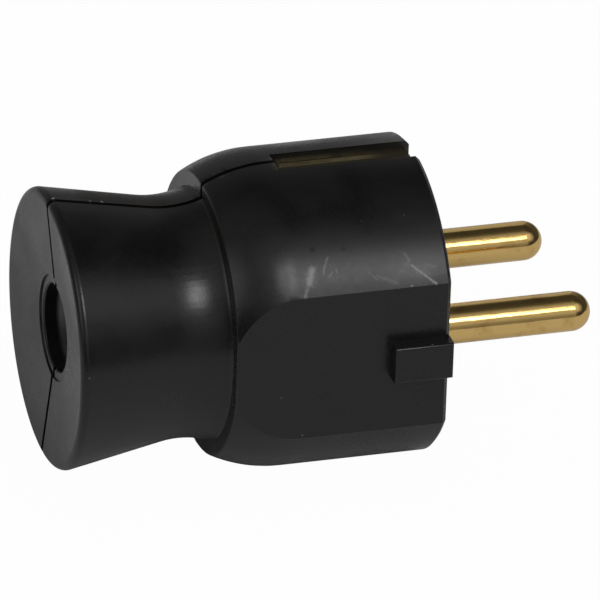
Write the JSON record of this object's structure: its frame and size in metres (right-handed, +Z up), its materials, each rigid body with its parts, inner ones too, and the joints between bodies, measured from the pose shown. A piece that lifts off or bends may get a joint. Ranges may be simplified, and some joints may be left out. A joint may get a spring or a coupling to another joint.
{
  "type": "schuko plug",
  "caption": "Rewireable earthed mains plug with a trumpet-shaped two-part casing, domed round pins, side earth contacts in channels and a cord inlet at the rear.",
  "frame": {"origin": "middle of the front face, where the plug's axis leaves the casing", "axes": "+X along the plug's axis to the pin tips, +Z up through the upper earth contact, pins side by side along Y"},
  "size_m": [0.0644, 0.0374, 0.038],
  "materials": {
    "casing": "smooth moulded, satin gloss, lightly scuffed",
    "brass": "polished",
    "steel": "zinc plated",
    "clamp": "moulded"
  },
  "bodies": {
    "root": {"casing_left": "casing", "casing_right": "casing", "pin_left": "brass", "pin_right": "brass", "terminal_screws": "steel", "earth_strap": "brass", "earth_washer": "steel", "earth_screw": "steel", "cord_clamp": "clamp", "cord_clamp_screws": "steel", "casing_screws": "steel"}
  },
  "joints": []
}
